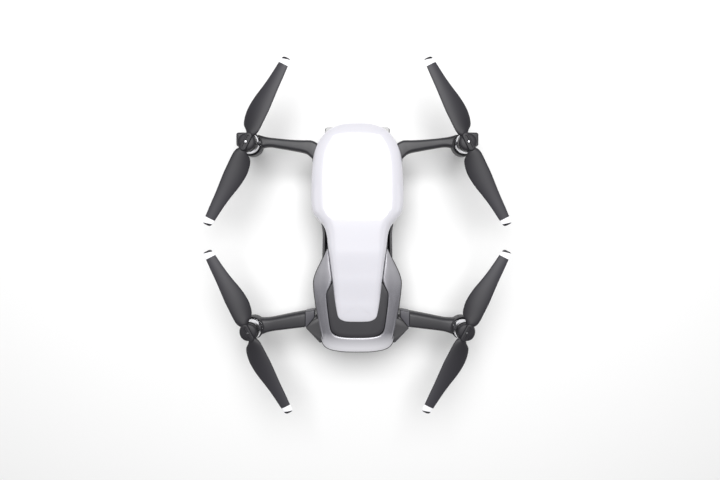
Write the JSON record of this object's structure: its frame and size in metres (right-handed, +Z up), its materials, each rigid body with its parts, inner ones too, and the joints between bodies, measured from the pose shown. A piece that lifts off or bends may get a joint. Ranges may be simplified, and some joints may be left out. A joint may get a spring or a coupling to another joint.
{
  "type": "quadcopter drone",
  "caption": "Folding camera quadcopter with a smooth domed shell, hinged arms, two-blade propellers, folding front legs and a nose gimbal.",
  "frame": {"origin": "on the ground under the middle of the craft, standing with arms and legs open", "axes": "+Z up, the nose faces -Y, the craft's left side is +X"},
  "size_m": [0.2246, 0.262, 0.064],
  "materials": {
    "white_shell": "glossy moulded and lacquered",
    "dark_shell": "fine moulded texture",
    "grey_trim": "satin metallic paint",
    "deck": "satin moulded",
    "arm_shell": "satin painted",
    "magnesium": "die cast",
    "steel_pin": "ground",
    "dark_window": "polished",
    "lamp": "translucent",
    "screw_steel": "black oxide",
    "board": "solder mask",
    "heat_sink": "extruded",
    "fan": "moulded",
    "ceramic": "fired ceramic",
    "battery": "fine moulded texture",
    "cell": "pouch foil",
    "rubber": "matte",
    "button": "satin",
    "motor_ring": "turned and polished",
    "winding": "enamelled copper wire",
    "prop_lock": "moulded",
    "propeller": "satin moulded",
    "camera_shell": "satin black",
    "lens": "coated glass",
    "gimbal_metal": "anodised"
  },
  "bodies": {
    "airframe": {"top_shell": "white_shell", "lower_shell": "dark_shell", "tail_trim": "grey_trim", "tail_deck": "deck", "nose_frame": "dark_shell", "hinge_frame": "magnesium", "hinge_brace": "magnesium", "sensor_windows": "dark_window", "status_light": "lamp", "body_screws": "screw_steel", "front_hinge_pins": "steel_pin", "rear_hinge_pins": "steel_pin", "rear_hinge_housings": "arm_shell", "main_board": "board", "heat_sink": "heat_sink", "fan_housing": "fan", "satellite_receiver": "ceramic", "battery_case": "battery", "battery_cells": "cell", "charge_lights": "lamp", "gimbal_damper_plate": "gimbal_metal", "gimbal_dampers": "rubber", "rear_feet": "dark_shell", "rear_foot_pads": "rubber"},
    "cooling_fan": {"fan_rotor": "fan"},
    "gimbal_yaw": {"gimbal_yaw_arm": "gimbal_metal"},
    "gimbal_roll": {"gimbal_roll_arm": "gimbal_metal"},
    "camera": {"camera_body": "camera_shell", "camera_lens": "lens"},
    "power_button": {"power_button": "button"},
    "battery_latch_left": {"battery_latch_left": "button"},
    "port_cover_left": {"port_cover_left": "dark_shell"},
    "front_arm_left": {"front_arm_left": "arm_shell", "leg_pin_left": "steel_pin", "motor_stator_front_left": "winding"},
    "rear_arm_left": {"rear_arm_left": "arm_shell", "motor_stator_rear_left": "winding"},
    "front_leg_left": {"front_leg_left": "arm_shell", "leg_pad_left": "rubber"},
    "rotor_front_left": {"motor_bell_front_left": "motor_ring", "prop_mount_front_left": "prop_lock", "propeller_front_left": "propeller"},
    "rotor_rear_left": {"motor_bell_rear_left": "motor_ring", "prop_mount_rear_left": "prop_lock", "propeller_rear_left": "propeller"},
    "battery_latch_right": {"battery_latch_right": "button"},
    "port_cover_right": {"port_cover_right": "dark_shell"},
    "front_arm_right": {"front_arm_right": "arm_shell", "leg_pin_right": "steel_pin", "motor_stator_front_right": "winding"},
    "rear_arm_right": {"rear_arm_right": "arm_shell", "motor_stator_rear_right": "winding"},
    "front_leg_right": {"front_leg_right": "arm_shell", "leg_pad_right": "rubber"},
    "rotor_front_right": {"motor_bell_front_right": "motor_ring", "prop_mount_front_right": "prop_lock", "propeller_front_right": "propeller"},
    "rotor_rear_right": {"motor_bell_rear_right": "motor_ring", "prop_mount_rear_right": "prop_lock", "propeller_rear_right": "propeller"}
  },
  "joints": [
    {"name": "front_arm_fold_left", "type": "hinge", "parent": "airframe", "child": "front_arm_left", "pos_m": [0.0265, -0.058, 0.039], "axis": [0, 0, 1], "range_deg": [0, 90]},
    {"name": "rear_arm_fold_left", "type": "hinge", "parent": "airframe", "child": "rear_arm_left", "pos_m": [0.0346, 0.064, 0.036], "axis": [-0.7738, 0.6334, 0], "range_deg": [0, 180]},
    {"name": "leg_fold_left", "type": "hinge", "parent": "front_arm_left", "child": "front_leg_left", "pos_m": [0.087, -0.0738, 0.0285], "axis": [0, 1, 0], "range_deg": [0, 90]},
    {"name": "front_arm_fold_right", "type": "hinge", "parent": "airframe", "child": "front_arm_right", "pos_m": [-0.0265, -0.058, 0.039], "axis": [0, 0, 1], "range_deg": [-90, 0]},
    {"name": "rear_arm_fold_right", "type": "hinge", "parent": "airframe", "child": "rear_arm_right", "pos_m": [-0.0346, 0.064, 0.036], "axis": [0.7738, 0.6334, 0], "range_deg": [-180, 0]},
    {"name": "leg_fold_right", "type": "hinge", "parent": "front_arm_right", "child": "front_leg_right", "pos_m": [-0.087, -0.0738, 0.0285], "axis": [0, 1, 0], "range_deg": [-90, 0]},
    {"name": "rotor_spin_front_left", "type": "hinge", "parent": "front_arm_left", "child": "rotor_front_left", "pos_m": [0.0804, -0.0698, 0.05], "axis": [0, 0, 1], "continuous": true},
    {"name": "rotor_spin_rear_left", "type": "hinge", "parent": "rear_arm_left", "child": "rotor_rear_left", "pos_m": [0.0804, 0.0698, 0.05], "axis": [0, 0, 1], "continuous": true},
    {"name": "rotor_spin_front_right", "type": "hinge", "parent": "front_arm_right", "child": "rotor_front_right", "pos_m": [-0.0804, -0.0698, 0.05], "axis": [0, 0, 1], "continuous": true},
    {"name": "rotor_spin_rear_right", "type": "hinge", "parent": "rear_arm_right", "child": "rotor_rear_right", "pos_m": [-0.0804, 0.0698, 0.05], "axis": [0, 0, 1], "continuous": true},
    {"name": "camera_yaw", "type": "hinge", "parent": "airframe", "child": "gimbal_yaw", "pos_m": [0, -0.066, 0.039], "axis": [0, 0, 1], "range_deg": [-10, 10]},
    {"name": "camera_roll", "type": "hinge", "parent": "gimbal_yaw", "child": "gimbal_roll", "pos_m": [0, -0.055, 0.0295], "axis": [0, 1, 0], "range_deg": [-12, 12]},
    {"name": "camera_tilt", "type": "hinge", "parent": "gimbal_roll", "child": "camera", "pos_m": [0.01, -0.066, 0.0295], "axis": [1, 0, 0], "range_deg": [-17, 90]},
    {"name": "fan_spin", "type": "hinge", "parent": "airframe", "child": "cooling_fan", "pos_m": [0, 0.016, 0.041], "axis": [0, 0, 1], "continuous": true},
    {"name": "port_cover_open_left", "type": "hinge", "parent": "airframe", "child": "port_cover_left", "pos_m": [0.0251, 0.04475, 0.0198], "axis": [0, 1, 0], "range_deg": [0, 90]},
    {"name": "port_cover_open_right", "type": "hinge", "parent": "airframe", "child": "port_cover_right", "pos_m": [-0.0251, 0.04475, 0.0198], "axis": [0, 1, 0], "range_deg": [-90, 0]},
    {"name": "latch_press_left", "type": "slide", "parent": "airframe", "child": "battery_latch_left", "axis": [1, 0, 0], "range_m": [-0.0012, 0], "stiffness_N_per_m": 150},
    {"name": "latch_press_right", "type": "slide", "parent": "airframe", "child": "battery_latch_right", "axis": [1, 0, 0], "range_m": [0, 0.0012], "stiffness_N_per_m": 150},
    {"name": "power_button_press", "type": "slide", "parent": "airframe", "child": "power_button", "axis": [0, 0, 1], "range_m": [0, 0.0006], "stiffness_N_per_m": 300}
  ]
}
